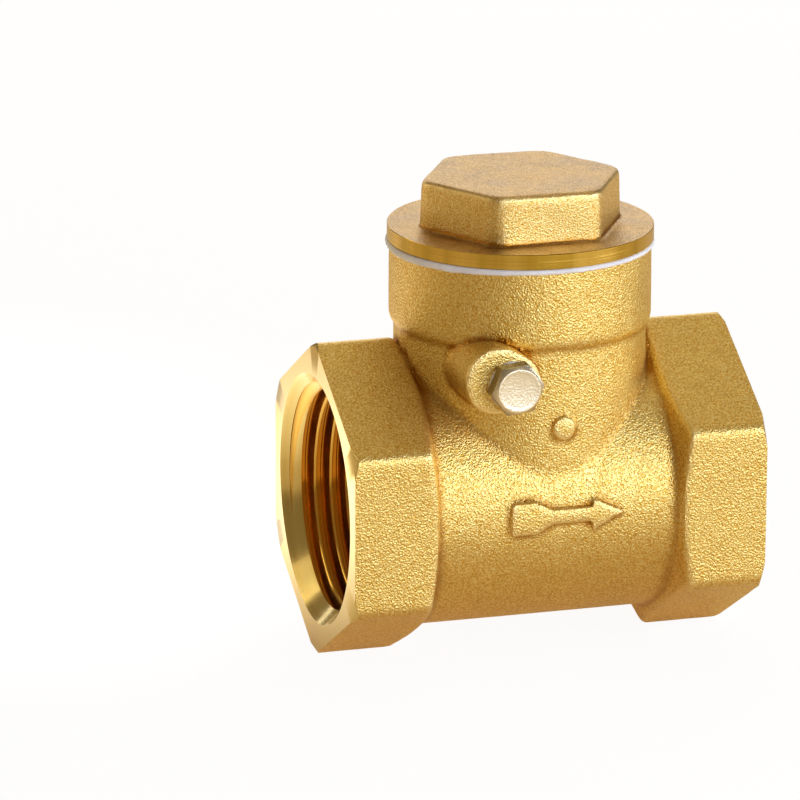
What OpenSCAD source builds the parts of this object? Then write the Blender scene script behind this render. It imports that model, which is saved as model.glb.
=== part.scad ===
// Swing check valve for a one-inch pipe: a cast brass body with female pipe threads, a screwed
// bonnet and a hinged clapper that closes against a vertical seat. Lengths are millimetres.
// The origin is the centre of the inlet mouth. +X is the flow, +Z points up through the bonnet
// and -Y is the front, which carries the flow arrow and the plug of the hinge pin.

/* [Run] */
// Face to face length of the valve
run_l = 59.5; // [58:0.5:62]
// Across flats of the wrench hexagons, over their four slanted sides
hex_af = 39.4; // [39:0.1:40]
// Across flats of the wrench hexagons, front to back
hex_side_af = 40.2; // [39.6:0.1:40.6]
// Length of each wrench hexagon
hex_l = 12; // [11:0.5:13]
// Outside diameter of the round barrel
barrel_d = 37.1; // [36.6:0.1:38]

/* [Ports] */
// Bore across the crests of the one-inch pipe thread
port_d = 30.29; // [30:0.01:30.4]
// Depth of the threaded bore at each end
port_l = 14.5; // [14:0.1:15]
// Diameter of the chamfer at each mouth
mouth_d = 35.3; // [35:0.1:35.6]

/* [Neck] */
// Outside diameter of the neck under its collar
neck_d = 35.2; // [35:0.1:35.6]
// Outside diameter of the collar
collar_d = 36.6; // [36.2:0.1:37]
// Height of the collar's lower edge
collar_z = 24.7; // [24:0.05:25]
// Height of the neck's top face
neck_z = 34.9; // [34.5:0.05:35.2]
// Bore of the neck above the chamber
neck_bore_d = 28; // [27.6:0.1:28.2]
// Bonnet thread, across its crests in the neck
bonnet_minor_d = 28.4; // [28.3:0.1:28.6]
// Bonnet thread, across its roots in the neck
bonnet_major_d = 30; // [29.8:0.1:30.2]
// Bonnet and pin plug threads, distance between turns
fine_pitch = 1.5; // [1.5]

/* [Bonnet] */
// Diameter of the bonnet's flange
flange_d = 37.1; // [36.8:0.1:37.4]
// Thickness of the flange
flange_t = 2.13; // [2:0.01:2.4]
// Across flats of the bonnet's hexagon
cap_af = 25.6; // [25:0.1:26]
// Height of the bonnet's hexagon
cap_h = 7; // [6.6:0.1:7.2]
// Thickness of the gasket
gasket_t = 0.73; // [0.6:0.01:1]
// Outside diameter of the gasket
gasket_d = 37.5; // [37.3:0.1:37.9]

/* [Seat and clapper] */
// Distance of the seat plane from the bonnet axis
seat_back = 9.5; // [9.3:0.1:9.6]
// Waterway through the seat
seat_bore_d = 20; // [19:0.5:20]
// Diameter of the clapper disc
disc_d = 24.4; // [24:0.1:24.4]
// Diameter of the rubber facing
rubber_d = 23; // [22.8:0.1:23.1]
// Thickness of the rubber facing
rubber_t = 1.6; // [1.6:0.1:1.8]
// Thickness of the arm's plate
arm_t = 2.2; // [2:0.1:2.3]

/* [Hinge] */
// Distance of the hinge pin behind the bonnet axis
pin_back = 7.6; // [7.5:0.1:7.7]
// Height of the hinge pin above the run
pin_z = 20.4; // [20.2:0.1:20.6]
// Diameter of the hinge pin
pin_d = 3; // [3]
// Across flats of the plug's hexagon
plug_af = 6.6; // [6.4:0.1:7]
// How far the plug's head stands out from the boss
plug_head = 3.3; // [3:0.1:3.6]
// Radius of the boss around the plug
boss_r = 4.75; // [4.5:0.05:5]
// Distance of the boss's face from the run axis
boss_face = 20.5; // [20.3:0.1:20.7]

/* [Hidden] */
$fn = 96;

CAST = "goldenrod";
MACHINED = "khaki";
STEEL = "silver";
PLATED = "lightgray";

// radial clearance of a turning fit, and of thread crests that are drawn clear of each other
run_gap = 0.05;
crest_gap = 0.1;
// how far a cut runs past the face that it opens
past = 1;

bonnet_x = run_l / 2;
run_r = port_d / 2;
hex_r = hex_af / 2 / cos(30);
barrel_r = barrel_d / 2;
neck_r = neck_d / 2;
neck_bore_r = neck_bore_d / 2;

// seat: a wall across the run, with a raised land that the clapper closes on
seat_x = bonnet_x - seat_back;
land_h = 1;
land_r = 11.3;
wall_x = seat_x - land_h;
throat_l = 2.5;
chamber_r = 16.2;
// height of the ledge behind the hinge, over the inlet thread
ledge_z = 17.8;

// bonnet
gasket_z = neck_z;
flange_z = gasket_z + gasket_t;
cap_z = flange_z + flange_t;
spigot_r = bonnet_minor_d / 2 - crest_gap;
spigot_l = 7.8;
hollow_r = 11;
bonnet_thread_z = 26;
bonnet_turns = 5;

// hinge
pin_x = bonnet_x - pin_back;
pin_r = pin_d / 2;
pin_hole_r = pin_r + run_gap;
pin_from = -13.9;
pin_to = 14;
hub_r = 2.8;
hub_half = 8.8;
hub_gap = 9;
lug_r = 3.2;
lug_half = 9.1;
lug_root = 13.6;
plug_bore_r = 2.6;
plug_root_r = 3.05;
plug_floor = -14.4;
plug_shank_r = plug_bore_r - crest_gap;
seal_t = 0.6;
seal_r = 3.4;
boss_shift = [-1.8, 0.5];
boss_near_r = 4.2;

// clapper, from the seat towards the outlet
rubber_x = seat_x;
plate_x = rubber_x + rubber_t - 0.7;
plate_t = 2;
arm_x = plate_x + plate_t + 0.15;
washer_x = arm_x + arm_t + 0.1;
washer_t = 0.6;
nut_x = washer_x + washer_t;
nut_t = 2.4;
nut_af = 7;
stem_r = 2;
stem_end = nut_x + nut_t + 0.3;
eye_r = 5;
screw_r = 1.5;
screw_in = 3.2;
retainer_t = 1;

// raised flow arrow and round casting mark
relief = 0.6;
arrow_x = bonnet_x + 1.1;
arrow_z = 0.5;
arrow_l = 16.2;

// Turns its children's +Z onto +X and stands them at a distance along the run
module along_run(x) {
    translate([x, 0, 0]) rotate([0, 90, 0]) children();
}

// Turns its children's +Z onto -Y, so that they face the front, at the hinge pin
module at_pin(y) {
    translate([pin_x, y, pin_z]) rotate([90, 0, 0]) children();
}

// V-shaped rings between a wall and the thread's roots, open towards the wall
module thread_rings(wall, root, pitch, first, turns, half_angle = 27.5, root_w = 0.25) {
    open_w = root_w + 2 * abs(wall - root) * tan(half_angle);
    for (i = [0 : turns - 1])
        translate([0, 0, first + i * pitch])
            rotate_extrude()
                polygon([[wall, -open_w / 2], [root, -root_w / 2],
                         [root, root_w / 2], [wall, open_w / 2]]);
}

// Regular hexagonal prism, measured across its flats, with a vertex on +X
module hex_prism(af, h) {
    cylinder(r = af / 2 / cos(30), h = h, $fn = 6);
}

// Outline of two circles with a bridge between them, its edges just inside their common tangents
module two_circle_outline(c1, r1, c2, r2) {
    inset = 0.97;
    span = norm(c2 - c1);
    lead = atan2(c2[1] - c1[1], c2[0] - c1[0]);
    open = acos((r1 - r2) / span);
    function rim(c, r, a) = c + inset * r * [cos(a), sin(a)];
    translate(c1) circle(r = r1);
    translate(c2) circle(r = r2);
    polygon([rim(c1, r1, lead + open), rim(c2, r2, lead + open),
             rim(c2, r2, lead - open), rim(c1, r1, lead - open)]);
}

// ---- valve body ----

// Wrench hexagon: a vertex up and one down, with its corners turned back at the mouth.
// Its inner end leans back to the barrel.
module wrench_end() {
    side = hex_side_af / 2;
    edge = hex_r - side * tan(30);
    outer = hex_r + 0.6;
    face_r = hex_r - 1.05;
    lean = (outer - side) * tan(19);
    foot_r = barrel_r + 0.8;
    intersection() {
        along_run(0)
            linear_extrude(height = hex_l + 2)
                polygon([[hex_r, 0], [edge, side], [-edge, side],
                         [-hex_r, 0], [-edge, -side], [edge, -side]]);
        along_run(0)
            rotate_extrude()
                polygon([[0, 0], [face_r, 0], [outer, (outer - face_r) * tan(30)],
                         [outer, hex_l - lean], [foot_r, hex_l + (side - foot_r) * tan(19)],
                         [barrel_r - 0.6, hex_l + 1.7], [0, hex_l + 1.7]]);
    }
}

module run_casting() {
    wrench_end();
    translate([run_l, 0, 0]) mirror([1, 0, 0]) wrench_end();
    along_run(hex_l / 2) cylinder(r = barrel_r, h = run_l - hex_l);
}

module neck_casting() {
    shoulder = 0.9;
    translate([bonnet_x, 0, 0]) {
        cylinder(r = neck_r, h = collar_z);
        translate([0, 0, collar_z - shoulder])
            cylinder(r1 = neck_r - 0.2, r2 = collar_d / 2, h = shoulder);
        translate([0, 0, collar_z]) cylinder(d = collar_d, h = neck_z - collar_z);
    }
}

module pin_boss() {
    at_pin(-5)
        linear_extrude(height = boss_face - 5)
            two_circle_outline(boss_shift, boss_r, [0, 0], boss_near_r);
}

// Raised arrow on the front of the barrel that shows the direction of flow
module flow_arrow() {
    tail_w = 4.6;
    tail_l = 3.8;
    shaft_w = 2.1;
    head_w = 4.8;
    head_l = 4.2;
    half = arrow_l / 2;
    translate([arrow_x, -barrel_r + 2, arrow_z])
        rotate([90, 0, 0])
            linear_extrude(height = 2 + relief)
                polygon([[-half, -tail_w / 2], [-half + tail_l, -tail_w / 2],
                         [-half + tail_l + 1, -shaft_w / 2], [half - head_l, -shaft_w / 2],
                         [half - head_l, -head_w / 2], [half, 0], [half - head_l, head_w / 2],
                         [half - head_l, shaft_w / 2], [-half + tail_l + 1, shaft_w / 2],
                         [-half + tail_l, tail_w / 2], [-half, tail_w / 2]]);
}

// Plain round casting mark on the front of the neck
module round_mark() {
    translate([bonnet_x + 0.8, -neck_r + 2, 12.8])
        rotate([90, 0, 0]) cylinder(r = 1.6, h = 2 + relief);
}

// Bore of one end, plain at the crests of its thread, as cut inwards from a mouth at the origin
module port_cut() {
    along_run(-past) cylinder(r = run_r, h = port_l + past);
    along_run(-past)
        cylinder(r1 = mouth_d / 2 + past, r2 = run_r - past,
                 h = mouth_d / 2 - run_r + 2 * past);
}

// Waterway from the inlet thread through the seat and into the chamber
module seat_cut() {
    along_run(port_l - 0.01) cylinder(r1 = run_r, r2 = seat_bore_d / 2, h = throat_l);
    along_run(port_l) cylinder(d = seat_bore_d, h = seat_back * 2);
}

// Round chamber between the seat wall and the outlet thread, around the seat's land
module chamber_cut() {
    difference() {
        along_run(wall_x) cylinder(r = chamber_r, h = run_l - port_l - wall_x);
        along_run(wall_x - past) cylinder(r = land_r, h = land_h + past);
    }
}

module neck_cut() {
    translate([bonnet_x, 0, 0]) {
        intersection() {
            cylinder(r = neck_bore_r, h = ledge_z + past);
            translate([wall_x - bonnet_x, -neck_bore_r, -past])
                cube([2 * neck_bore_r, 2 * neck_bore_r, ledge_z + 3 * past]);
        }
        translate([0, 0, ledge_z]) cylinder(r = neck_bore_r, h = neck_z - ledge_z + past);
        translate([0, 0, bonnet_thread_z])
            cylinder(d = bonnet_minor_d, h = neck_z - bonnet_thread_z + past);
        thread_rings(bonnet_minor_d / 2 - 0.3, bonnet_major_d / 2, fine_pitch,
                     bonnet_thread_z + fine_pitch, bonnet_turns);
    }
}

// Pads inside the neck that keep the clapper's hub in the middle of the pin
module pin_lugs() {
    for (y = [lug_root, -lug_half])
        at_pin(y) cylinder(r = lug_r, h = lug_root - lug_half);
}

// Blind pin hole, opened at the front by the plug's threaded bore
module pin_cut() {
    blind = pin_to + 0.2;
    at_pin(blind) cylinder(r = pin_hole_r, h = blind - plug_floor + 0.5);
    at_pin(plug_floor) cylinder(r = plug_bore_r, h = boss_face + plug_floor + past);
    at_pin(plug_floor)
        thread_rings(plug_bore_r - 0.3, plug_root_r, 1, 1.2, 4);
}

module valve_body() {
    color(CAST)
    difference() {
        union() {
            difference() {
                union() {
                    run_casting();
                    neck_casting();
                    pin_boss();
                    flow_arrow();
                    round_mark();
                }
                port_cut();
                translate([run_l, 0, 0]) mirror([1, 0, 0]) port_cut();
                seat_cut();
                chamber_cut();
                neck_cut();
            }
            pin_lugs();
        }
        pin_cut();
    }
}

// ---- bonnet ----

module bonnet_cap() {
    edge = 0.35;
    // the hexagon's corners are rounded off to this radius
    corner_r = cap_af / 2 / cos(30) - 0.45;
    color(CAST)
    translate([bonnet_x, 0, 0])
    difference() {
        union() {
            translate([0, 0, flange_z - spigot_l]) cylinder(r = spigot_r, h = spigot_l + 0.5);
            translate([0, 0, flange_z]) cylinder(d = flange_d, h = flange_t);
            intersection() {
                translate([0, 0, cap_z - 0.5]) rotate(-0.5) hex_prism(cap_af, cap_h + 0.5);
                translate([0, 0, cap_z - past])
                    rotate_extrude()
                        polygon([[0, 0], [corner_r, 0], [corner_r, cap_h + past - edge],
                                 [corner_r - edge, cap_h + past], [0, cap_h + past]]);
            }
        }
        translate([0, 0, flange_z - spigot_l - past])
            cylinder(r = hollow_r, h = spigot_l + flange_t + past);
        translate([0, 0, flange_z])
            cylinder(r1 = hollow_r, r2 = hollow_r - 2, h = flange_t + 1.5);
        thread_rings(spigot_r + 0.3, spigot_r - 0.7, fine_pitch,
                     flange_z - spigot_l + 1.2, 4);
    }
}

module bonnet_gasket() {
    color("white")
    translate([bonnet_x, 0, gasket_z])
    difference() {
        cylinder(d = gasket_d, h = gasket_t);
        translate([0, 0, -past]) cylinder(r = spigot_r + 0.1, h = gasket_t + 2 * past);
    }
}

// ---- hinge ----

module pin_plug() {
    end_r = 3.1;
    color(PLATED)
    difference() {
        union() {
            at_pin(plug_floor - 0.3)
                cylinder(r = plug_shank_r, h = boss_face + plug_floor + seal_t + 1);
            intersection() {
                at_pin(-boss_face - seal_t) rotate(7) hex_prism(plug_af, plug_head - seal_t);
                at_pin(-boss_face - seal_t)
                    rotate_extrude()
                        polygon([[0, 0], [4.2, 0], [4.2, plug_head - seal_t - 0.8],
                                 [end_r, plug_head - seal_t], [0, plug_head - seal_t]]);
            }
        }
        at_pin(plug_floor)
            thread_rings(plug_shank_r + 0.3, plug_shank_r - 0.4, 1, 1.5, 4);
    }
}

module plug_seal() {
    color("white")
    at_pin(-boss_face)
        difference() {
            cylinder(r = seal_r, h = seal_t);
            translate([0, 0, -past]) cylinder(r = plug_shank_r + 0.1, h = seal_t + 2 * past);
        }
}

module hinge_pin() {
    tip = 0.3;
    color(STEEL)
    at_pin(pin_to) {
        cylinder(r1 = pin_r - tip, r2 = pin_r, h = tip);
        translate([0, 0, tip]) cylinder(r = pin_r, h = pin_to - pin_from - 2 * tip);
        translate([0, 0, pin_to - pin_from - tip]) cylinder(r1 = pin_r, r2 = pin_r - tip, h = tip);
    }
}

// ---- clapper ----

// Forked arm: two ears on the pin and a plate that carries the disc's stem in an eye
module clapper_arm() {
    ear_w = hub_half - hub_gap / 2;
    fork_z = 15.2;
    color(MACHINED)
    difference() {
        union() {
            for (y = [hub_half, -hub_gap / 2]) at_pin(y) cylinder(r = hub_r, h = ear_w);
            along_run(arm_x) {
                linear_extrude(height = arm_t) {
                    polygon([[0, -eye_r], [0, eye_r], [-fork_z, hub_half], [-pin_z, hub_half],
                             [-pin_z, hub_gap / 2], [-fork_z, hub_gap / 2],
                             [-fork_z, -hub_gap / 2], [-pin_z, -hub_gap / 2],
                             [-pin_z, -hub_half], [-fork_z, -hub_half]]);
                    circle(r = eye_r);
                }
            }
        }
        at_pin(hub_half + past) cylinder(r = pin_hole_r, h = 2 * hub_half + 2 * past);
        along_run(arm_x - past) cylinder(r = stem_r + run_gap, h = arm_t + 2 * past);
    }
}

// Disc with a recess for the rubber on the seat side and a stem on the other
module clapper_disc() {
    recess = rubber_x + rubber_t - plate_x;
    color(MACHINED)
    difference() {
        union() {
            along_run(plate_x)
                rotate_extrude()
                    polygon([[0, 0], [disc_d / 2, 0], [disc_d / 2, plate_t - 0.6],
                             [disc_d / 2 - 0.6, plate_t], [0, plate_t]]);
            along_run(plate_x + plate_t / 2) cylinder(r = stem_r, h = stem_end - plate_x - plate_t / 2);
        }
        along_run(plate_x - past) cylinder(d = rubber_d + 0.1, h = recess + past);
        along_run(plate_x) cylinder(r = screw_r + run_gap, h = recess + screw_in);
    }
}

module rubber_facing() {
    color("dimgray")
    along_run(rubber_x)
        difference() {
            cylinder(d = rubber_d, h = rubber_t);
            translate([0, 0, -past]) cylinder(r = screw_r + run_gap, h = rubber_t + 2 * past);
        }
}

module facing_retainer() {
    color(MACHINED)
    along_run(rubber_x - retainer_t)
        difference() {
            cylinder(r = 6, h = retainer_t);
            translate([0, 0, -past]) cylinder(r = screw_r + run_gap, h = retainer_t + 2 * past);
        }
}

// Slotted cheese-head screw that clamps the retainer and the rubber onto the disc
module retainer_screw() {
    head_t = 1.9;
    head_x = rubber_x - retainer_t - head_t;
    color(STEEL)
    difference() {
        union() {
            along_run(head_x) cylinder(r1 = 2.5, r2 = 2.8, h = head_t);
            along_run(head_x + head_t)
                cylinder(r = screw_r, h = retainer_t + rubber_t + screw_in - 0.4);
        }
        translate([head_x - past, -4, -0.4]) cube([past + 0.9, 8, 0.8]);
    }
}

module stem_washer() {
    color(STEEL)
    along_run(washer_x)
        difference() {
            cylinder(r = 4.4, h = washer_t);
            translate([0, 0, -past]) cylinder(r = stem_r + run_gap, h = washer_t + 2 * past);
        }
}

module stem_nut() {
    color(STEEL)
    along_run(nut_x)
        difference() {
            intersection() {
                hex_prism(nut_af, nut_t);
                rotate_extrude()
                    polygon([[0, 0], [nut_af / 2 + 0.15, 0], [nut_af / 2 + 0.7, 0.35],
                             [nut_af / 2 + 0.7, nut_t - 0.35], [nut_af / 2 + 0.15, nut_t],
                             [0, nut_t]]);
            }
            translate([0, 0, -past]) cylinder(r = stem_r + 0.02, h = nut_t + 2 * past);
        }
}

valve_body();
bonnet_cap();
bonnet_gasket();
pin_plug();
plug_seal();
hinge_pin();
clapper_arm();
clapper_disc();
rubber_facing();
facing_retainer();
retainer_screw();
stem_washer();
stem_nut();
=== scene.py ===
# %% [markdown]
# # A brass swing check valve
# This lesson dresses a check valve for one inch pipe. Its working shape is already fixed: thirteen
# separate parts that turn, slide and screw on each other. Here each part gets the skin that the
# real one has. The body and the bonnet are sand castings, blasted with shot and then machined
# only where they seal or screw together, so nearly every surface is either grainy or turned.

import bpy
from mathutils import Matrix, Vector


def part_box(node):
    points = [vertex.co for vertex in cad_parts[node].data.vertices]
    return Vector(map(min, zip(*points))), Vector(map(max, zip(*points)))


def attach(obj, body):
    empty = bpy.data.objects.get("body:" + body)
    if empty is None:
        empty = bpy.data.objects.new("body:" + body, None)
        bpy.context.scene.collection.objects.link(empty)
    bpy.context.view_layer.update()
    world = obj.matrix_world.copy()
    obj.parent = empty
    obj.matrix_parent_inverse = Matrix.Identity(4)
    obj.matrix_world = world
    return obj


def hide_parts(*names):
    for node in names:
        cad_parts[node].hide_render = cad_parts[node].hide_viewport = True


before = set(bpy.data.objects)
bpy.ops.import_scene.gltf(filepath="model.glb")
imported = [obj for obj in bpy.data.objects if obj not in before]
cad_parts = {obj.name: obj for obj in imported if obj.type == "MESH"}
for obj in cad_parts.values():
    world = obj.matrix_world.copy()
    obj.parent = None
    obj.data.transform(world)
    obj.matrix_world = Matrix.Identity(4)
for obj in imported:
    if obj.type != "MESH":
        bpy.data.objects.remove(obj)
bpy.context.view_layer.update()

# %% Modules and units
import math

import bmesh
import bpy
import numpy as np
from mathutils import Matrix, Vector, noise

MM = 0.001
RUN_LENGTH = 59.5
BONNET_X = RUN_LENGTH / 2
PIN_X, PIN_Z = 22.15, 20.4
BARREL_R, NECK_R, COLLAR_R = 18.55, 17.6, 18.3
FLANGE_THICKNESS, COLLAR_HEIGHT, PLUG_HEAD = 2.13, 11.05, 3.3

def heights(node_name):
    """The lowest and highest z of a fixed part, in millimetres."""
    return [corner.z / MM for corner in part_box(node_name)]

NECK_TOP, FLANGE_UNDER = heights("bonnet_gasket")
SPIGOT_END, CAP_TOP = heights("bonnet_cap")
FLANGE_TOP = FLANGE_UNDER + FLANGE_THICKNESS
COLLAR_FOOT = NECK_TOP - COLLAR_HEIGHT
PLUG_END = -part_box("pin_plug")[0].y / MM
BOSS_FACE = PLUG_END - PLUG_HEAD
print("neck top", round(NECK_TOP, 2), "flange", round(FLANGE_UNDER, 2), "to", round(FLANGE_TOP, 2),
      "cap top", round(CAP_TOP, 2), "(all lengths are in millimetres until a piece is finished)")

# %% [markdown]
# ## Camera
# The view is from the front, a little from the inlet side and a little from above, through a long
# lens, so that the two hexagons look almost the same size. A camera is placed by three directions:
# the way back from the object to the camera, the way to the right, and the way up.

# %% Camera
CAMERA_DISTANCE = 848
back = Vector((-0.278, -0.919, 0.278)).normalized()
right = Vector((0.957, -0.290, 0)).normalized()
up = back.cross(right)
aim = Vector((BONNET_X, 0, 0)) - 16.83 * right + 11.39 * up
eye = aim + CAMERA_DISTANCE * back
camera_data = bpy.data.cameras.new("camera")
camera_data.lens = 271.6
camera_data.sensor_width = 36
camera_data.clip_start = 0.05
camera = bpy.data.objects.new("camera", camera_data)
level = Matrix((right, up, back)).transposed().to_4x4()
tilt = Matrix.Rotation(math.radians(0.2), 4, "Z")
camera.matrix_world = Matrix.Translation(eye * MM) @ level @ tilt
bpy.context.scene.collection.objects.link(camera)
bpy.context.scene.camera = camera
print("camera at", [round(v, 3) for v in camera.location])

# %% [markdown]
# ## Field modelling
# A casting has no sharp inside corners: where a neck meets a barrel the sand rounds the joint. Such
# fillets are hard to draw as a cage when five shapes meet. A field does it better. A field is a
# number at every point of space, here the distance to a surface, negative inside. The smaller of
# two fields joins two solids, the larger keeps what they share, and the smooth versions of both
# round the joint by a chosen amount. Geometry nodes fill a grid with the field and draw the
# surface where it is zero. The class below lets a formula be written in Python, and adds one
# Math node for each sum.

# %% A field written as a formula
class Field:
    """A number at every point of space. Each sum done on it adds one Math node to its tree."""

    def __init__(self, tree, socket):
        self.tree, self.socket = tree, socket

    def math(self, operation, *others):
        sum_node = self.tree.nodes.new("ShaderNodeMath")
        sum_node.operation = operation
        for place, value in zip(sum_node.inputs, (self, *others)):
            if isinstance(value, Field):
                self.tree.links.new(value.socket, place)
            else:
                place.default_value = value
        return Field(self.tree, sum_node.outputs[0])

    def __add__(self, other):
        return self.math("ADD", other)

    def __sub__(self, other):
        return self.math("SUBTRACT", other)

    def __mul__(self, other):
        return self.math("MULTIPLY", other)

    def __neg__(self):
        return self.math("MULTIPLY", -1)

    def __abs__(self):
        return self.math("ABSOLUTE")

    def hypot(self, other):
        return (self * self + other * other).math("SQRT")

    def joined(self, other, fillet):
        return self.math("SMOOTH_MIN", other, fillet)

    def shared(self, other, edge):
        return self.math("SMOOTH_MAX", other, edge)

    def ripple(self, size, depth):
        """Adds slow unevenness, as a casting has, with bumps of about that size."""
        cloud = self.tree.nodes.new("ShaderNodeTexNoise")
        cloud.inputs["Scale"].default_value = 1 / size
        cloud.inputs["Detail"].default_value = 1
        return self + (Field(self.tree, cloud.outputs["Fac"]) - 0.5) * (2 * depth)

# %% Draw the surface where a field is zero
def cast_from_field(name, low, high, spacing, formula):
    """A closed mesh of the surface where formula(x, y, z) is zero, on a grid of that spacing."""
    tree = bpy.data.node_groups.new(name, "GeometryNodeTree")
    tree.interface.new_socket("Geometry", in_out="OUTPUT", socket_type="NodeSocketGeometry")
    axes = tree.nodes.new("ShaderNodeSeparateXYZ")
    tree.links.new(tree.nodes.new("GeometryNodeInputPosition").outputs[0], axes.inputs[0])
    distance = formula(*[Field(tree, socket) for socket in axes.outputs])
    grid = tree.nodes.new("GeometryNodeVolumeCube")
    tree.links.new((-distance).socket, grid.inputs["Density"])
    grid.inputs["Background"].default_value = -1
    grid.inputs["Min"].default_value, grid.inputs["Max"].default_value = low, high
    for axis, a, b in zip("XYZ", low, high):
        grid.inputs["Resolution " + axis].default_value = round((b - a) / spacing)
    skin = tree.nodes.new("GeometryNodeVolumeToMesh")
    skin.inputs["Threshold"].default_value = 0
    tree.links.new(grid.outputs[0], skin.inputs["Volume"])
    tree.links.new(skin.outputs[0], tree.nodes.new("NodeGroupOutput").inputs[0])
    piece = bpy.data.objects.new(name, bpy.data.meshes.new(name))
    bpy.context.scene.collection.objects.link(piece)
    piece.modifiers.new("field", "NODES").node_group = tree
    bake(piece)
    piece.data.materials.clear()
    bpy.data.node_groups.remove(tree)
    print(name, "cast with", len(piece.data.polygons), "faces")
    return piece

# %% Bake a modifier stack into the mesh
def bake(piece):
    """Replaces the mesh by what its modifiers make of it."""
    seen = piece.evaluated_get(bpy.context.evaluated_depsgraph_get())
    mesh, old = bpy.data.meshes.new_from_object(seen), piece.data
    piece.modifiers.clear()
    piece.data = mesh
    bpy.data.meshes.remove(old)

# %% Measure how the skin bends
SMOOTHING_ROUNDS = 2

def mark_bends(piece, spacing):
    """Stores at each vertex how sharply the skin bends, out (above 0) or in, for the finishes."""
    mesh = piece.data
    count = len(mesh.vertices)
    spots, normals = np.empty(count * 3), np.empty(count * 3)
    ends = np.empty(len(mesh.edges) * 2, dtype=np.int64)
    mesh.vertices.foreach_get("co", spots)
    mesh.vertices.foreach_get("normal", normals)
    mesh.edges.foreach_get("vertices", ends)
    spots, normals, (one, two) = spots.reshape(-1, 3), normals.reshape(-1, 3), ends.reshape(-1, 2).T
    around = np.maximum(np.bincount(ends, minlength=count), 1)
    reach = np.zeros_like(spots)
    np.add.at(reach, one, spots[two] - spots[one])
    np.add.at(reach, two, spots[one] - spots[two])
    bend = -(reach * normals).sum(axis=1) / around / spacing ** 2
    for _ in range(SMOOTHING_ROUNDS):
        near = np.bincount(one, bend[two], count) + np.bincount(two, bend[one], count)
        bend = (bend + near) / (around + 1)
    mesh.attributes.new("bend", "FLOAT", "POINT").data.foreach_set("value", bend)
    print(piece.name, "bends from", bend.min().round(2), "to", bend.max().round(2), "per mm")

# %% [markdown]
# ## Turning
# Everything that a lathe or a tap makes is turned from a profile by the Screw modifier. With a
# screw offset the same modifier winds a thread. The profile's corners are given as radius and
# height, from top to bottom, and the finished shape is laid along the axis where it belongs. These
# shapes are used twice: as pieces, and as cutting tools for a Boolean, which is how the machined
# faces are really made.

# %% The Screw modifier on a profile
def screwed(name, points, edges, steps, **settings):
    """Spins a profile about Z. Its points are (radius, height)."""
    mesh = bpy.data.meshes.new(name)
    mesh.from_pydata([(r, 0, z) for r, z in points], edges, [])
    piece = bpy.data.objects.new(name, mesh)
    bpy.context.scene.collection.objects.link(piece)
    screw = piece.modifiers.new("screw", "SCREW")
    screw.steps = screw.render_steps = steps
    for setting, value in settings.items():
        setattr(screw, setting, value)
    bake(piece)
    mend(piece)
    return piece

def mend(piece):
    """Closes open ends and points every face outwards."""
    work = bmesh.new()
    work.from_mesh(piece.data)
    bmesh.ops.remove_doubles(work, verts=work.verts, dist=0.0005)
    bmesh.ops.holes_fill(work, edges=[e for e in work.edges if e.is_boundary], sides=0)
    bmesh.ops.recalc_face_normals(work, faces=work.faces)
    work.to_mesh(piece.data)
    work.free()

# %% Turned solids and wound ridges
def turned(name, corners, steps=96, ring=False):
    """A solid turned about Z, its corners from top to bottom, or a ring if the profile is closed."""
    count = len(corners)
    edges = [(i, (i + 1) % count) for i in range(count if ring else count - 1)]
    return screwed(name, corners, edges, steps, use_merge_vertices=True, merge_threshold=0.0005)

def thread(name, section, pitch, first, turns, steps=72):
    """A ridge wound about Z. The section is (radius, height) round the first turn's start."""
    count = len(section)
    edges = [(i, (i + 1) % count) for i in range(count)]
    raised = [(r, z + first) for r, z in section]
    return screwed(name, raised, edges, steps, screw_offset=pitch, iterations=turns)

# %% Lay a shape along its axis
def along_run(x=0, flip=False):
    """Turns Z towards +X, or towards -X when flipped, with its foot at x."""
    return Matrix.Translation((x, 0, 0)) @ Matrix.Rotation(math.radians(-90 if flip else 90), 4, "Y")

def up_neck():
    return Matrix.Translation((BONNET_X, 0, 0))

def out_of_pin(y=0):
    """Turns Z towards the front, -Y, on the hinge pin's axis."""
    return Matrix.Translation((PIN_X, y, PIN_Z)) @ Matrix.Rotation(math.radians(90), 4, "X")

def laid(piece, place, finish=0):
    piece.data.transform(place)
    for face in piece.data.polygons:
        face.material_index = finish
    return piece

# %% Cut, add and finish
def combine(piece, tool, operation="DIFFERENCE"):
    """Cuts the tool out of the piece, or adds it, and keeps the finish of each face."""
    while len(tool.data.materials) < len(piece.data.materials):
        tool.data.materials.append(piece.data.materials[len(tool.data.materials)])
    before = len(piece.data.polygons)
    joint = piece.modifiers.new("joint", "BOOLEAN")
    joint.operation, joint.solver, joint.object = operation, "MANIFOLD", tool
    bake(piece)
    print("  ", operation.lower(), tool.name, before, "->", len(piece.data.polygons))
    bpy.data.objects.remove(tool)

def without_slivers(piece):
    """Merges points a micron apart, because a Boolean leaves triangles of no area along its cuts."""
    work = bmesh.new()
    work.from_mesh(piece.data)
    bmesh.ops.remove_doubles(work, verts=work.verts, dist=0.001)
    bmesh.ops.triangulate(work, faces=work.faces)
    open_edges = sum(not edge.is_manifold for edge in work.edges)
    work.to_mesh(piece.data)
    work.free()
    print("  ", piece.name, "has", len(piece.data.polygons), "triangles and", open_edges, "open edges")

def finished(piece, body, node_name, angle=32):
    """Scales the mesh to metres, sets its shading, and hands it to the frame."""
    without_slivers(piece)
    piece.data.transform(Matrix.Scale(MM, 4))
    for face in piece.data.polygons:
        face.use_smooth = True
    piece.data.set_sharp_from_angle(angle=math.radians(angle))
    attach(piece, body)
    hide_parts(node_name)

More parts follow.
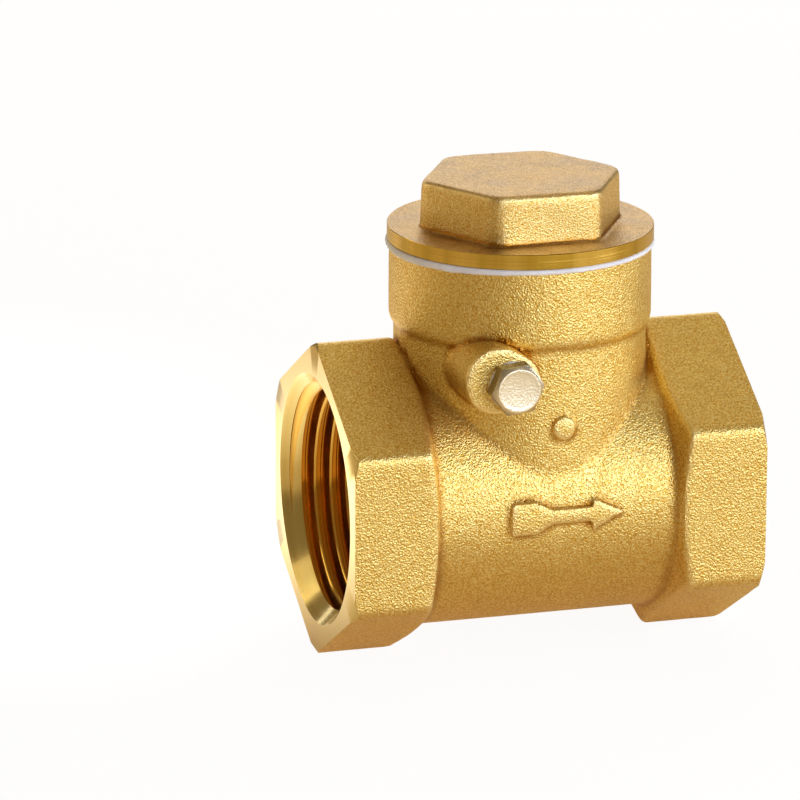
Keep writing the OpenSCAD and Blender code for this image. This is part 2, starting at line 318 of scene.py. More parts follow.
# %% [markdown]
# ## Shader groups
# Three effects come back on several finishes, so each is a group: the grain that shot leaves on a
# casting, the fine rings that a lathe tool leaves with bands of painted sheen, and a casting's worn
# edges, paler from rubbing and a painted highlight, with painted shade in its inside corners. Each
# puts out plain masks and heights, and the finish decides what they do.

# %% Small helper for node trees
def add(tree, kind, inputs=None, **settings):
    made = tree.nodes.new(kind)
    for key, value in settings.items():
        setattr(made, key, value)
    for key, value in (inputs or {}).items():
        if isinstance(value, bpy.types.NodeSocket):
            tree.links.new(value, made.inputs[key])
        else:
            made.inputs[key].default_value = value
    return made

def new_group(name, inputs, outputs):
    tree = bpy.data.node_groups.new(name, "ShaderNodeTree")
    for label, kind, value in inputs:
        tree.interface.new_socket(label, in_out="INPUT", socket_type=kind).default_value = value
    for label in outputs:
        tree.interface.new_socket(label, in_out="OUTPUT", socket_type="NodeSocketFloat")
    return tree, tree.nodes.new("NodeGroupInput"), tree.nodes.new("NodeGroupOutput")

# %% Shot-blasted grain
GRAINS = 3800.0
grain_group, grain_in, grain_out = new_group(
    "shot_grain", [("Grains per metre", "NodeSocketFloat", GRAINS)], ["Height", "Speckle", "Cloud"])
place = add(grain_group, "ShaderNodeTexCoord").outputs["Object"]
dents = add(grain_group, "ShaderNodeTexVoronoi", {"Vector": place, "Scale": grain_in.outputs[0],
            "Smoothness": 0.6}, feature="SMOOTH_F1")
fine = add(grain_group, "ShaderNodeTexNoise", {"Vector": place, "Scale": grain_in.outputs[0],
           "Detail": 2.5, "Roughness": 0.62})
both = add(grain_group, "ShaderNodeMath", {0: dents.outputs["Distance"], 1: fine.outputs["Fac"]},
           operation="ADD")
speckle = add(grain_group, "ShaderNodeMapRange", {"Value": fine.outputs["Fac"], "From Min": 0.36,
              "From Max": 0.64})
slow = add(grain_group, "ShaderNodeTexNoise", {"Vector": place, "Scale": 190.0, "Detail": 4.0,
           "Roughness": 0.6})
cloud = add(grain_group, "ShaderNodeMapRange", {"Value": slow.outputs["Fac"], "From Min": 0.34,
            "From Max": 0.66})
for label, socket in (("Height", both.outputs[0]), ("Speckle", speckle.outputs[0]),
                      ("Cloud", cloud.outputs[0])):
    grain_group.links.new(socket, grain_out.inputs[label])
print("shot grain of about", round(1000 / GRAINS, 2), "mm")

# %% Turning marks, and bands of painted sheen
MARKS = 14000.0
turning_group, turning_in, turning_out = new_group(
    "turning_marks_and_sheen", [("Centre", "NodeSocketVector", (0, 0, 0)), ("Axis", "NodeSocketVector", (0, 0, 1)),
                      ("Marks per metre", "NodeSocketFloat", MARKS)], ["Height", "Painted_sheen"])
place = add(turning_group, "ShaderNodeTexCoord").outputs["Object"]
from_centre = add(turning_group, "ShaderNodeVectorMath", {0: place, 1: turning_in.outputs["Centre"]},
                  operation="SUBTRACT").outputs[0]
along = add(turning_group, "ShaderNodeVectorMath", {0: from_centre, 1: turning_in.outputs["Axis"]},
            operation="DOT_PRODUCT").outputs["Value"]
across = add(turning_group, "ShaderNodeVectorMath", {0: from_centre, 1: turning_in.outputs["Axis"]},
             operation="CROSS_PRODUCT").outputs[0]
radius = add(turning_group, "ShaderNodeVectorMath", {0: across}, operation="LENGTH").outputs["Value"]
spot = add(turning_group, "ShaderNodeCombineXYZ", {"X": along, "Y": radius}).outputs[0]
marks = add(turning_group, "ShaderNodeTexNoise", {"Vector": spot, "Scale": turning_in.outputs[2],
            "Detail": 2.0}).outputs["Fac"]
# Slow bands along the rings, used as colour: a painted sheen.
bands = add(turning_group, "ShaderNodeTexNoise", {"Vector": spot, "Scale": 700.0, "Detail": 3.0})
turning_group.links.new(marks, turning_out.inputs["Height"])
turning_group.links.new(bands.outputs["Fac"], turning_out.inputs["Painted_sheen"])
print("turning marks of about", round(1000 / MARKS, 2), "mm")

# %% Worn edges with a painted highlight, and painted shade in corners
edges_and_corners_group, edges_and_corners_in, edges_and_corners_out = new_group(
    "rubbed_edges_and_corner_shade", [("Edge", "NodeSocketFloat", 0.3), ("Corner", "NodeSocketFloat", -0.2)],
    ["Rubbed", "Corner_shade"])
bend = add(edges_and_corners_group, "ShaderNodeAttribute", attribute_name="bend").outputs["Fac"]
# Where the skin bends outwards: paler edges, worn by rubbing, with a painted highlight.
edge_wear_and_highlight = add(edges_and_corners_group, "ShaderNodeMapRange", {"Value": bend, "From Min": 0.05,
             "From Max": edges_and_corners_in.outputs["Edge"]})
# Where the skin bends inwards: a mask for painted shade in corners and creases.
hollow = add(edges_and_corners_group, "ShaderNodeMapRange", {"Value": bend, "From Min": -0.02,
             "From Max": edges_and_corners_in.outputs["Corner"]})
edges_and_corners_group.links.new(edge_wear_and_highlight.outputs[0], edges_and_corners_out.inputs["Rubbed"])
edges_and_corners_group.links.new(hollow.outputs[0], edges_and_corners_out.inputs["Corner_shade"])
print("wear group with", len(edges_and_corners_group.nodes), "nodes")

# %% [markdown]
# ## Cast brass
# Shot blasting leaves a bright golden skin of dents a quarter of a millimetre wide. Each dent
# catches the light on its own, which reads as a fine sparkle, deeper gold in the low places. Inside
# corners are painted darker, a painted shade, and edges paler, worn by rubbing and with a painted
# highlight.

# %% Metals from a colour pair
def new_finish(name):
    finish = bpy.data.materials.new(name)
    finish.use_nodes = True
    tree = finish.node_tree
    print("finish", name)
    return finish, tree, tree.nodes["Principled BSDF"]

def mix_colour(tree, mask, low, high):
    return add(tree, "ShaderNodeMix", {0: mask, 6: low, 7: high}, data_type="RGBA").outputs[2]

def grained_finish(name, grains):
    finish, tree, shader = new_finish(name)
    grain = add(tree, "ShaderNodeGroup", node_tree=grain_group)
    grain.inputs["Grains per metre"].default_value = grains
    return finish, tree, shader, grain.outputs

def roughen(tree, shader, mask, rough, height, depth, **ends):
    """Varies the roughness between two values by a mask, and raises the fine relief."""
    gloss = add(tree, "ShaderNodeMapRange", {"Value": mask, "To Min": rough[0], "To Max": rough[1]})
    for end, value in ends.items():
        gloss.inputs[end].default_value = value
    tree.links.new(gloss.outputs[0], shader.inputs["Roughness"])
    bump = add(tree, "ShaderNodeBump", {"Height": height, "Distance": depth})
    tree.links.new(bump.outputs[0], shader.inputs["Normal"])

# %% Cast metal
# The dark corner colour is painted shade; the pale edge colour is worn brass with a painted highlight.
CORNER_SHADE_BRASS, EDGE_WEAR_AND_HIGHLIGHT_BRASS = (0.40, 0.16, 0.012, 1), (0.98, 0.76, 0.34, 1)

def cast_metal(name, deep, pale, grains=GRAINS, depth=0.00008, shaded_top=None):
    """A blasted casting: colours for its low and high spots, and for its upward faces, painted darker as
    shade, if it has them.
    """
    finish, tree, shader, grain = grained_finish(name, grains)
    edges_and_corners = add(tree, "ShaderNodeGroup", node_tree=edges_and_corners_group)
    colour = mix_colour(tree, grain["Speckle"], deep, pale)
    # Inside corners are darkened: painted shade.
    colour = mix_colour(tree, edges_and_corners.outputs["Corner_shade"], colour, CORNER_SHADE_BRASS)
    # Outward edges turn pale: worn by rubbing, and a painted highlight.
    colour = mix_colour(tree, edges_and_corners.outputs["Rubbed"], colour, EDGE_WEAR_AND_HIGHLIGHT_BRASS)
    # Faces that turn upwards are darkened: painted shade from above.
    if shaded_top:
        facing = add(tree, "ShaderNodeNewGeometry").outputs["Normal"]
        upward = add(tree, "ShaderNodeSeparateXYZ", {0: facing}).outputs["Z"]
        top = add(tree, "ShaderNodeMapRange", {"Value": upward, "From Min": 0.45, "From Max": 0.95})
        patchy = add(tree, "ShaderNodeMix", {0: 0.6, 2: grain["Cloud"], 3: grain["Speckle"]})
        skin = mix_colour(tree, patchy.outputs[0], *shaded_top)
        colour = mix_colour(tree, top.outputs[0], colour, skin)
    tree.links.new(colour, shader.inputs["Base Color"])
    shader.inputs["Metallic"].default_value = 1
    roughen(tree, shader, grain["Cloud"], (0.34, 0.46), grain["Height"], depth)
    return finish

cast_brass = cast_metal("blasted_brass", (0.68, 0.37, 0.040, 1), (0.99, 0.81, 0.32, 1))

# %% [markdown]
# ## Machined brass
# Turned faces are paler. The tool leaves rings that spread the light across them, and the long soft
# bands of shine along them are painted into the colour, a painted sheen. The rings are drawn from the
# distance to the axis, so the same finish needs to know which axis it was turned about.

# %% Turned metal
def turned_metal(name, centre, axis, low, high, rough=(0.12, 0.24), depth=0.000006):
    finish, tree, shader = new_finish(name)
    marks = add(tree, "ShaderNodeGroup", node_tree=turning_group)
    marks.inputs["Centre"].default_value = [v * MM for v in centre]
    marks.inputs["Axis"].default_value = axis
    # The base colour carries the sheen bands: painted sheen.
    colour = mix_colour(tree, marks.outputs["Painted_sheen"], low, high)
    tree.links.new(colour, shader.inputs["Base Color"])
    shader.inputs["Metallic"].default_value = 1
    height = marks.outputs["Height"]
    roughen(tree, shader, height, rough, height, depth, **{"From Min": 0.3, "From Max": 0.7})
    return finish

ON_RUN, ON_NECK = ((0, 0, 0), (1, 0, 0)), ((BONNET_X, 0, 0), (0, 0, 1))
BRASS = (0.78, 0.54, 0.13, 1), (0.95, 0.79, 0.35, 1)
brass_on_run = turned_metal("brass_turned_on_run", *ON_RUN, *BRASS)
brass_on_neck = turned_metal("brass_turned_on_neck", *ON_NECK, *BRASS)
brass_thread = turned_metal("brass_thread", *ON_RUN, (0.78, 0.42, 0.06, 1), (0.96, 0.62, 0.15, 1),
                            rough=(0.10, 0.2))

# %% [markdown]
# The flange's rim was turned in one light pass, and it also has darker bands across it. Squashing
# the coordinates flat in Z makes the same noise run straight up the rim.

# %% Rim with darker bands
brass_rim = turned_metal("brass_rim", *ON_NECK, (0.72, 0.44, 0.06, 1), (0.96, 0.70, 0.19, 1),
                         rough=(0.10, 0.18), depth=0.000018)
rim_tree = brass_rim.node_tree
rim_colour = rim_tree.nodes["Principled BSDF"].inputs["Base Color"]
plain_rim = rim_colour.links[0].from_socket
here = add(rim_tree, "ShaderNodeTexCoord").outputs["Object"]
flat = add(rim_tree, "ShaderNodeMapping", {"Vector": here, "Scale": (1, 1, 0)}).outputs[0]
rim_bands = add(rim_tree, "ShaderNodeTexNoise", {"Vector": flat, "Scale": 150.0, "Detail": 5.0})
shown = add(rim_tree, "ShaderNodeMapRange", {"Value": rim_bands.outputs[0], "From Min": 0.38,
            "From Max": 0.6})
rim_tree.links.new(mix_colour(rim_tree, shown.outputs[0], (0.56, 0.36, 0.05, 1), plain_rim), rim_colour)

# %% [markdown]
# ## Valve body
# One casting: two wrench ends, the barrel between them, the neck with its collar, the boss for
# the pin plug, a raised flow arrow and a round mark. The field below is written in the order of a
# pattern maker's work, and each joint has the fillet that the sand would leave there.

# %% The wrench ends and barrel
FRONT_FLAT, SLOPE_FLAT, WRENCH_END = 20.04, 19.7, 17.75
COS_60, SIN_60 = 0.5, 0.866
LEAN_OUT, LEAN_UP = 0.9455, 0.3256  # cosine and sine of the inner face's lean, 19 degrees

def run_field(x, y, z):
    from_axis = y.hypot(z)
    from_middle = abs(x - BONNET_X)
    sides = abs(y) - FRONT_FLAT
    for sign in (1, -1):
        slope = abs(y * COS_60 + z * (SIN_60 * sign)) - SLOPE_FLAT
        sides = sides.shared(slope, 1.2)
    inner_face = (-from_middle + WRENCH_END) * LEAN_OUT + (from_axis - 20.1) * LEAN_UP
    wrench_end = sides.shared(inner_face, 0.9)
    return (from_axis - BARREL_R).joined(wrench_end, 1.5).shared(from_middle - 30.6, 0.3)

# %% The neck, collar and boss
FRONT_HALF = 6  # the boss and the raised marks only stand on the side where y is below -6

def neck_field(x, y, z):
    from_axis = (x - BONNET_X).hypot(y)
    neck = (from_axis - NECK_R).shared(-z, 0.5)
    taper = (z - COLLAR_FOOT) * 0.006
    collar = (from_axis - COLLAR_R + taper).shared(-z + COLLAR_FOOT, 2.2)
    neck = neck.joined(collar, 0.3).shared(z - (NECK_TOP + 0.9), 0.3)
    wide = (x - 20.35).hypot(z - 20.9) - 4.75
    near = (x - PIN_X).hypot(z - PIN_Z) - 4.2
    boss = wide.joined(near, 0.6).shared(-y - BOSS_FACE, 0.8).shared(y + FRONT_HALF, 0.5)
    return neck.joined(boss, 0.4)

# %% The raised arrow and mark
ARROW_RISE, MARK_RISE = 0.65, 0.7
MARK_X, MARK_Z, MARK_R = 30.55, 12.8, 1.75

def arrow_field(x, z):
    start = x - BONNET_X
    height = abs(z - 0.5)
    tail_end = start * 0.545 + height * 0.838 - 0.2
    tail = (-start - 7.1).shared(height - 2.35, 0.5).shared(tail_end, 0.4)
    shaft = (abs(start - 1.1) - 4.4).shared(height - 1.05, 0.3)
    head = (-start + 4.6).shared((start - 9.3) * 0.464 + height * 0.886, 0.35)
    return tail.joined(shaft, 0.8).joined(head, 0.3)

def body_field(x, y, z):
    side_on = abs(x - BONNET_X) * (1 / NECK_R)
    body = run_field(x, y, z).joined(neck_field(x, y, z), side_on * side_on * 1.8 + 0.25)
    over_barrel = y.hypot(z) - (BARREL_R + ARROW_RISE)
    arrow = arrow_field(x, z).shared(over_barrel, 0.5).shared(y + FRONT_HALF, 0.5)
    over_neck = (x - BONNET_X).hypot(y) - (NECK_R + MARK_RISE)
    mark = (x - MARK_X).hypot(z - MARK_Z) - MARK_R
    mark = mark.shared(over_neck, 0.9).shared(y + FRONT_HALF, 0.5)
    return body.joined(arrow, 0.3).joined(mark, 0.35).ripple(7, 0.05).ripple(2.2, 0.025)

# %% Cast the body
BODY_GRID = 0.43
valve_body = cast_from_field("valve_body_casting", (-1.6, -21.6, -23.8), (61.1, 21.6, 37.0), BODY_GRID,
                             body_field)
mark_bends(valve_body, BODY_GRID)
for finish in (cast_brass, brass_on_run, brass_on_neck, brass_thread):
    valve_body.data.materials.append(finish)

# %% [markdown]
# ## Machining the body
# Now the casting goes on the lathe. Each end is faced, and the hexagon's corners are turned back at
# 30 degrees. One long tool is the shape of the whole waterway: inlet, throat, seat with its raised
# land, chamber and outlet. Then the pipe threads are wound and cut.

# %% Faces and corners at both ends
for x, flip in ((0, True), (RUN_LENGTH, False)):
    facing = turned("facing", [(0, 4), (32, 4), (32, -5.947), (21.7, 0), (0, 0)])
    combine(valve_body, laid(facing, along_run(x, flip), 1))

# %% The waterway
PORT_R, MOUTH_R, SEAT_R = 15.145, 17.65, 10
PLAIN_R = PORT_R - 0.12
waterway = [(0, 61.5), (19.65, 61.5), (MOUTH_R, RUN_LENGTH), (PLAIN_R, 56.875), (PLAIN_R, 45), (16.2, 45),
            (16.2, 19.25), (11.3, 19.25), (11.3, 20.25), (SEAT_R, 20.25), (SEAT_R, 17), (PLAIN_R, 14.5),
            (PLAIN_R, 2.625), (MOUTH_R, 0), (19.65, -2), (0, -2)]
combine(valve_body, laid(turned("waterway", waterway, steps=120), along_run(), 1))

# %% Pipe threads
def wound_tube(name, crest, root, pitch, turns, steps=108):
    """A round threaded bar. One turn of the Screw climbs one pitch, so each row meets the next."""
    wave = [0.0, 0.06, 0.15, 0.32, 0.44, 0.5, 0.56, 0.68, 0.85, 0.94]
    rounded = [0.0, 0.05, 0.24, 0.66, 0.94, 1.0, 0.94, 0.66, 0.24, 0.05]
    rows = [(crest + (root - crest) * depth, (turn + step) * pitch)
            for turn in range(turns) for step, depth in zip(wave, rounded)]
    edges = [(i, i + 1) for i in range(len(rows) - 1)]
    return screwed(name, rows, edges, steps, screw_offset=pitch)

PIPE_ROOT_R, PIPE_PITCH, TAP_START = 16.62, 2.309, 2.9
for x, flip in ((-TAP_START, False), (RUN_LENGTH + TAP_START, True)):
    tap = wound_tube("pipe_thread", PORT_R, PIPE_ROOT_R, PIPE_PITCH, 7)
    combine(valve_body, laid(tap, along_run(x, flip), 3))

# %% The neck's bore and its thread
NECK_BORE_R, FINE_PITCH = 14, 1.5
bore = turned("neck_bore", [(0, NECK_TOP + 3), (15.2, NECK_TOP + 3), (15.2, NECK_TOP),
                            (14.2, NECK_TOP - 0.9), (14.2, 26), (NECK_BORE_R, 25.7),
                            (NECK_BORE_R, 17.8), (0, 17.8)])
combine(valve_body, laid(bore, up_neck(), 2))
cutter = [(13.9, 0.6), (14.2, 0.52), (15, 0.1), (15, -0.1), (14.2, -0.52), (13.9, -0.6)]
combine(valve_body, laid(thread("neck_thread", cutter, FINE_PITCH, 27.2, 6), up_neck(), 2))
top = turned("neck_face", [(0, 39), (24, 39), (24, NECK_TOP), (0, NECK_TOP)])
combine(valve_body, laid(top, up_neck(), 2))

# %% The way down to the clapper
def slab(name, outline, low, high):
    """A straight solid from an outline in X and Y."""
    work = bmesh.new()
    floor = work.faces.new([work.verts.new((x, y, low)) for x, y in outline])
    walls = bmesh.ops.extrude_face_region(work, geom=[floor])["geom"]
    bmesh.ops.translate(work, verts=[v for v in walls if isinstance(v, bmesh.types.BMVert)],
                        vec=(0, 0, high - low))
    bmesh.ops.recalc_face_normals(work, faces=work.faces)
    piece = bpy.data.objects.new(name, bpy.data.meshes.new(name))
    work.to_mesh(piece.data)
    work.free()
    bpy.context.scene.collection.objects.link(piece)
    return piece

WALL_SIDE = 10.5  # how far the seat's wall is from the neck's axis
half_arc = math.acos(-WALL_SIDE / NECK_BORE_R)
turns = [half_arc * (i / 40 * 2 - 1) for i in range(41)]
arc = [(NECK_BORE_R * math.cos(a), NECK_BORE_R * math.sin(a)) for a in turns]
combine(valve_body, laid(slab("way_down", arc, -1, 18.1), up_neck(), 2))

# %% Lugs and pin hole
PLUG_PITCH = 1
for y in (13.6, -9.1):
    lug = turned("pin_lug", [(0, 4.5), (2.9, 4.5), (3.2, 4.2), (3.2, 0.3), (2.9, 0), (0, 0)], steps=48)
    combine(valve_body, laid(lug, out_of_pin(y), 2), "UNION")
pin_hole = turned("pin_hole", [(0, 23), (5.2, 23), (2.9, 20.65), (2.6, 20.35), (2.6, 14.4), (1.55, 13.8),
                               (1.55, -14.2), (0, -14.7)], steps=48)
combine(valve_body, laid(pin_hole, out_of_pin(), 2))
plug_thread = [(2.4, 0.4), (2.6, 0.33), (3.05, 0.1), (3.05, -0.1), (2.6, -0.33), (2.4, -0.4)]
tap = thread("plug_hole_thread", plug_thread, PLUG_PITCH, 15.2, 4, steps=40)
combine(valve_body, laid(tap, out_of_pin(), 2))

# %% Hand the body to the frame
valve_body.name = "valve_body_skin"
finished(valve_body, "body", "valve_body")

# %% [markdown]
# ## Bonnet
# The bonnet is another casting, turned where it screws in: a hexagon with broad round corners on
# a flange. Only the flange's rim, its underside and the threaded spigot see a tool, so the rim is the
# one bright band. Its upward faces are painted darker, a painted shade from above.

# %% The bonnet's casting
HEAD_FLAT, DRAFT, BONNET_GRID = 12.72, -0.025, 0.32
SLIGHT_TURN = 0.0087  # sine of the half degree by which the hexagon stands askew

def bonnet_field(x, y, z):
    a = x + y * -SLIGHT_TURN
    b = x * SLIGHT_TURN + y
    draft = (z - CAP_TOP) * DRAFT
    sides = abs(b) - HEAD_FLAT - draft
    for sign in (1, -1):
        slope = abs(a * SIN_60 + b * (COS_60 * sign)) - HEAD_FLAT - draft
        sides = sides.shared(slope, 2.4)
    head = sides.shared(z - (CAP_TOP - 0.08), 1.3)
    flange = (x.hypot(y) - 19.6).shared(z - FLANGE_TOP, 0.4)
    whole = head.joined(flange, 0.8).shared(-z + (FLANGE_UNDER - 1), 0.3)
    return whole.ripple(7, 0.12).ripple(2, 0.02)

# The two darker colours at the end paint the bonnet's upward faces: painted shade.
bonnet_brass = cast_metal("bonnet_brass", (0.70, 0.38, 0.05, 1), (1.0, 0.83, 0.38, 1), grains=4600.0,
                          depth=0.000045, shaded_top=((0.24, 0.13, 0.035, 1), (0.86, 0.60, 0.26, 1)))
bonnet = cast_from_field("bonnet_casting", (-20.4, -20.4, FLANGE_UNDER - 1.6),
                         (20.4, 20.4, CAP_TOP + 0.8), BONNET_GRID, bonnet_field)
mark_bends(bonnet, BONNET_GRID)
for finish in (bonnet_brass, brass_on_neck, brass_rim):
    bonnet.data.materials.append(finish)

# %% Turning the rim, the underside and the spigot
under, top = FLANGE_UNDER, FLANGE_TOP
rim = turned("rim", [(24, top + 2), (18.45, top + 2), (18.45, top + 0.1), (18.55, top - 0.05),
                     (18.55, under + 0.15), (18.4, under), (0, under), (0, under - 3), (24, under - 3)],
             steps=144, ring=True)
combine(bonnet, laid(rim, Matrix(), 2))
spigot = turned("spigot", [(0, under + 1), (14.1, under + 1), (14.1, SPIGOT_END + 0.6),
                           (13.5, SPIGOT_END), (0, SPIGOT_END)])
combine(bonnet, laid(spigot, Matrix(), 1), "UNION")
spigot_thread = [(14.4, 0.62), (14.1, 0.52), (13.4, 0.1), (13.4, -0.1), (14.1, -0.52), (14.4, -0.62)]
die = thread("spigot_thread", spigot_thread, FINE_PITCH, SPIGOT_END - 0.3, 4)
combine(bonnet, laid(die, Matrix(), 1))
hollow = turned("hollow", [(0, top + 1.5), (9, top + 1.5), (11, top), (11, SPIGOT_END + 0.5),
                           (11.6, SPIGOT_END - 0.1), (11.6, SPIGOT_END - 1), (0, SPIGOT_END - 1)])
combine(bonnet, laid(hollow, Matrix(), 1))
bonnet.data.transform(up_neck())
bonnet.name = "bonnet_skin"
finished(bonnet, "bonnet", "bonnet_cap")

# %% [markdown]
# ## Gasket
# A soft white washer, squeezed under the flange. It isn't cut cleanly: its edge stands out a
# little more on one side and waves slightly. A turned ring is the start, then its outer edge is
# pushed out by a slow noise.

# %% White gasket
white_ptfe, tree, shader, grain = grained_finish("soft_white_ring", 1800.0)
tree.links.new(mix_colour(tree, grain["Cloud"], (0.78, 0.76, 0.80, 1), (0.94, 0.93, 0.95, 1)),
               shader.inputs["Base Color"])
roughen(tree, shader, grain["Speckle"], (0.4, 0.6), grain["Height"], 0.00003)

# %% Gasket ring
low_side, high_side = NECK_TOP + 0.01, FLANGE_UNDER - 0.01
gasket = turned("gasket", [(18.2, high_side), (18.45, high_side - 0.02), (18.62, high_side - 0.1),
                           (18.72, high_side - 0.25), (18.75, high_side - 0.42), (18.7, low_side + 0.12),
                           (18.6, low_side), (18.45, low_side), (18.2, low_side), (14.25, low_side),
                           (14.25, high_side)], steps=300, ring=True)
EDGE_WAVES = ((4.1, 0.12), (17, 0.07), (45, 0.04))  # how many to a radius, and their height
for vertex in gasket.data.vertices:
    outward = Vector((vertex.co.x, vertex.co.y, 0))
    if outward.length > 18.4:
        bearing = outward.normalized()
        bulge = max(0, bearing.dot(Vector((-0.93, -0.37, 0)))) ** 3
        wave = sum(noise.noise(bearing * pace) * size for pace, size in EDGE_WAVES)
        vertex.co += bearing * (0.28 * bulge - 0.1 + wave)
        if vertex.co.z < low_side + 0.3 and outward.length > 18.55:
            sag = noise.noise(bearing * 23 + Vector((7, 0, 0))) * 0.12
            vertex.co.z -= -0.08 + 0.3 * bulge + sag
gasket.data.materials.append(white_ptfe)
gasket.data.transform(up_neck())
gasket.name = "gasket_skin"
finished(gasket, "bonnet_seal", "bonnet_gasket")

# %% [markdown]
# ## Pin plug and its washer
# A small hexagonal plug closes the hole that the hinge pin went in by. Bar stock is turned
# round at its end, so the flats run out in arcs. It is the shared part of a hexagonal bar and a
# turned blank, and it is nickel plated, so it looks pale and warm against the brass. Back from
# its end the flats are painted dark, a painted shade.

# %% Plated plug
plate, tree, shader, grain = grained_finish("plated_plug", 3000.0)
bright = mix_colour(tree, grain["Speckle"], (0.90, 0.80, 0.58, 1), (1.0, 0.97, 0.82, 1))
plate_colour = mix_colour(tree, grain["Cloud"], (0.95, 0.83, 0.60, 1), bright)
here = add(tree, "ShaderNodeTexCoord").outputs["Object"]
along_plug = add(tree, "ShaderNodeSeparateXYZ", {0: here}).outputs["Y"]
# Darker from 0.15 mm back from the plug's end: painted shade on the flats.
flank_shade = add(tree, "ShaderNodeMapRange", {"Value": along_plug, "To Max": 0.9,
             "From Min": (0.15 - PLUG_END) * MM, "From Max": (0.9 - PLUG_END) * MM})
tree.links.new(mix_colour(tree, flank_shade.outputs[0], plate_colour, (0.22, 0.16, 0.075, 1)),
               shader.inputs["Base Color"])
shader.inputs["Metallic"].default_value = 1
roughen(tree, shader, grain["Cloud"], (0.44, 0.28), grain["Height"], 0.00003)

# %% Plug
PLUG_R = 3.3 / math.cos(math.radians(30))
WASHER = 0.6
angles = [math.radians(60 * i + 7) for i in range(6)]
corners = [(PLUG_R * math.cos(a), PLUG_R * math.sin(a)) for a in angles]
plug = slab("plug_head", corners, BOSS_FACE + WASHER, PLUG_END + 0.4)
plug.data.materials.append(plate)
blank = turned("plug_blank", [(r, PLUG_END - down) for r, down in (
    (0, 0.12), (2.3, 0.12), (2.6, 0.08), (2.85, 0.01), (3.0, 0.04), (3.12, 0.16), (3.22, 0.3),
    (4.2, 1.0), (4.2, 2.45), (3.6, 2.7), (0, 2.7))], steps=64)
combine(plug, blank, "INTERSECT")
shank = turned("plug_shank", [(0, BOSS_FACE + 1), (2.5, BOSS_FACE + 1), (2.5, 15.0), (2.2, 14.7),
                              (0, 14.7)], steps=48)
combine(plug, shank, "UNION")
shank_thread = [(2.7, 0.4), (2.5, 0.32), (2.1, 0.08), (2.1, -0.08), (2.5, -0.32), (2.7, -0.4)]
combine(plug, thread("shank_thread", shank_thread, PLUG_PITCH, 15, 5, steps=40))
laid(plug, out_of_pin())
plug.name = "pin_plug_skin"
finished(plug, "plug", "pin_plug")

# %% Washer under the plug
washer = turned("plug_washer", [(r, BOSS_FACE + up) for r, up in (
    (3.25, WASHER), (3.36, 0.52), (3.4, 0.35), (3.38, 0.1), (3.28, 0), (2.6, 0), (2.6, WASHER))],
    steps=64, ring=True)
washer.data.materials.append(white_ptfe)
laid(washer, out_of_pin())
washer.name = "plug_washer_skin"
finished(washer, "plug_ring", "plug_seal")

# %% [markdown]
# ## The clapper and its pin
# The parts inside keep their fixed meshes, which already have every step and slot, and only get a
# finish each: brass turned about its own axis, drawn stainless steel, and black rubber.

# %% Finishes for the inner parts
brass_on_disc = turned_metal("brass_turned_on_disc", *ON_RUN, (0.72, 0.43, 0.13, 1),
                             (0.95, 0.70, 0.33, 1), rough=(0.2, 0.36))
steel_on_disc = turned_metal("steel_turned_on_disc", *ON_RUN, (0.48, 0.48, 0.47, 1),
                             (0.72, 0.72, 0.70, 1), rough=(0.18, 0.32))
steel_on_pin = turned_metal("steel_drawn_pin", (PIN_X, 0, PIN_Z), (0, 1, 0), (0.5, 0.5, 0.49, 1),
                            (0.74, 0.74, 0.72, 1), rough=(0.14, 0.26))
rubber, tree, shader, grain = grained_finish("moulded_rubber", 3000.0)
tree.links.new(mix_colour(tree, grain["Cloud"], (0.012, 0.012, 0.012, 1), (0.035, 0.034, 0.033, 1)),
               shader.inputs["Base Color"])
roughen(tree, shader, grain["Speckle"], (0.5, 0.7), grain["Height"], 0.00001)

# %% Put them on
inner = {"clapper_arm": brass_on_disc, "clapper_disc": brass_on_disc, "facing_retainer": brass_on_disc,
         "stem_nut": steel_on_disc, "stem_washer": steel_on_disc, "retainer_screw": steel_on_disc,
         "hinge_pin": steel_on_pin, "rubber_facing": rubber}
for name, finish in inner.items():
    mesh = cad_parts[name].data
    for place in range(len(mesh.materials)):
        mesh.materials[place] = finish
    print(name, "gets", finish.name)

# %% [markdown]
# ## Floor and light
# A white table under five large soft cards: the front and right ones are cool and strong, the left
# and top ones warm and weak, and the back one is neutral. Metal shows what stands round it more
# than the light itself, so the room and the table look warm to the metal and stay white to a
# viewer. Three soft pools of light on the table stand for the reflectors that a studio would lay
# there to light the inlet's turned face.

# %% Floor
TABLE = -22.75
POOLS = (((-0.03, 0.06, -0.023), 0.078, 1.1), ((-0.045, 0.115, -0.023), 0.10, 0.8),
         ((0.06, -0.16, -0.023), 0.17, 0.15))  # centre and reach in metres, and strength
WARM_TABLE, WHITE_TABLE = (0.86, 0.68, 0.40, 1), (0.9, 0.9, 0.9, 1)
floor_finish, tree, shader = new_finish("white_floor")
shader.inputs["Roughness"].default_value = 0.9
shader.inputs["Emission Color"].default_value = (1, 1, 1, 1)
here = add(tree, "ShaderNodeTexCoord").outputs["Object"]
glow = 0.06
for centre, reach, strength in POOLS:
    gap = add(tree, "ShaderNodeVectorMath", {0: here, 1: centre}, operation="DISTANCE")
    pool = add(tree, "ShaderNodeMapRange", {"Value": gap.outputs["Value"], "From Min": reach,
               "From Max": 0.0, "To Max": strength}, interpolation_type="SMOOTHSTEP")
    glow = add(tree, "ShaderNodeMath", {0: pool.outputs[0], 1: glow}, operation="ADD").outputs[0]
tree.links.new(glow, shader.inputs["Emission Strength"])
seen = add(tree, "ShaderNodeLightPath").outputs["Is Camera Ray"]
tree.links.new(mix_colour(tree, seen, WARM_TABLE, WHITE_TABLE), shader.inputs["Base Color"])
paper = add(tree, "ShaderNodeEmission", {"Color": (1, 1, 1, 1), "Strength": 1.06})
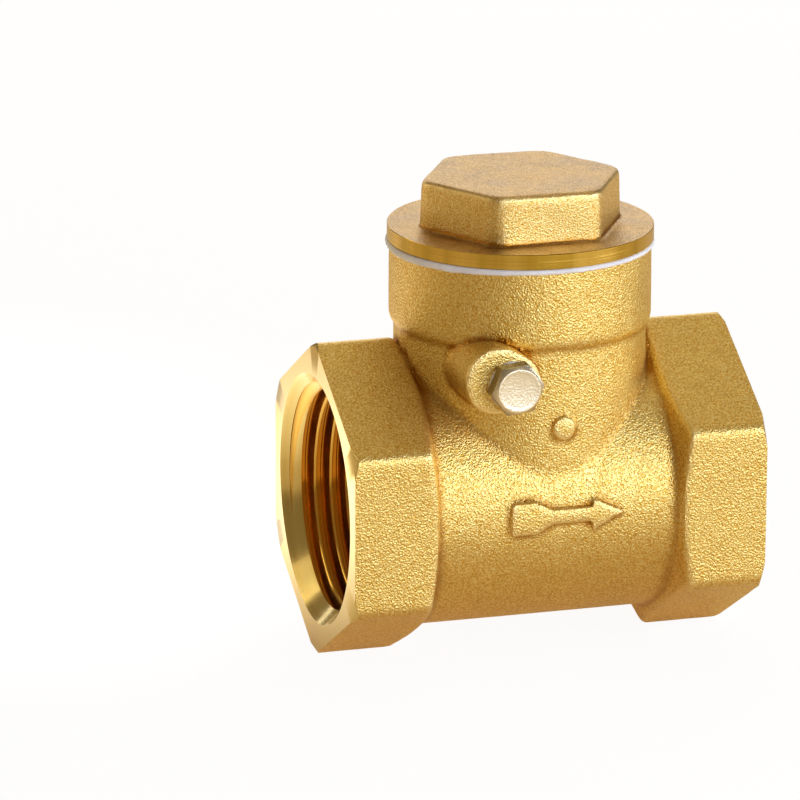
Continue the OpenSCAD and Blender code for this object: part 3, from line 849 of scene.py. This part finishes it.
share = add(tree, "ShaderNodeMath", {0: seen, 1: 0.85}, operation="MULTIPLY").outputs[0]
blend = add(tree, "ShaderNodeMixShader", {0: share, 1: shader.outputs[0], 2: paper.outputs[0]})
tree.links.new(blend.outputs[0], tree.nodes["Material Output"].inputs["Surface"])
floor = slab("floor", [(-3000, -3000), (3000, -3000), (3000, 3000), (-3000, 3000)], TABLE - 10, TABLE)
floor.data.transform(Matrix.Scale(MM, 4))
floor.data.materials.append(floor_finish)
print("table at", TABLE, "mm with", len(POOLS), "pools of light")

# %% Lights
LIT_SPOT = Vector((0.03, 0, 0.01))

def soft_light(name, direction, distance, width, height, radiance, colour=(1, 1, 1)):
    """A rectangular card of even light, given by how bright it looks from the object."""
    light = bpy.data.lights.new(name, "AREA")
    light.shape, light.size, light.size_y = "RECTANGLE", width, height
    light.energy = radiance * math.pi * width * height
    light.color = colour
    lamp = bpy.data.objects.new(name, light)
    lamp.location = LIT_SPOT + Vector(direction).normalized() * distance
    lamp.rotation_euler = (LIT_SPOT - lamp.location).to_track_quat("-Z", "Y").to_euler()
    lamp.visible_camera = False
    bpy.context.scene.collection.objects.link(lamp)
    print(name, "of", round(light.energy, 2), "watts")

COOL, WARM = (0.94, 1.08, 1.34), (1.0, 0.86, 0.62)
soft_light("front_card", (0.30, -0.90, 0.30), 1.1, 0.75, 0.62, 3.55, COOL)
soft_light("right_card", (0.92, -0.40, 0.22), 1.1, 0.75, 0.6, 3.1, COOL)
soft_light("top_card", (0.25, 0.25, 0.95), 1.1, 0.8, 0.8, 0.74, WARM)
soft_light("back_card", (0.20, 0.95, 0.36), 1.2, 1.2, 0.6, 1.6)
soft_light("left_card", (-0.80, 0.50, 0.30), 1.2, 0.7, 0.6, 1.25, WARM)

# %% Room
world = bpy.data.worlds.new("room")
world.use_nodes = True
tree = world.node_tree
room = tree.nodes["Background"]
room.inputs["Color"].default_value = (1, 0.76, 0.44, 1)
room.inputs["Strength"].default_value = 0.22
seen = add(tree, "ShaderNodeLightPath").outputs["Is Camera Ray"]
wall = add(tree, "ShaderNodeBackground", {"Color": (1, 1, 1, 1), "Strength": 1.0})
blend = add(tree, "ShaderNodeMixShader", {0: seen, 1: room.outputs[0], 2: wall.outputs[0]})
tree.links.new(blend.outputs[0], tree.nodes["World Output"].inputs["Surface"])
bpy.context.scene.world = world
bpy.context.scene.view_settings.view_transform = "Standard"
print("room at strength", round(room.inputs["Strength"].default_value, 2))
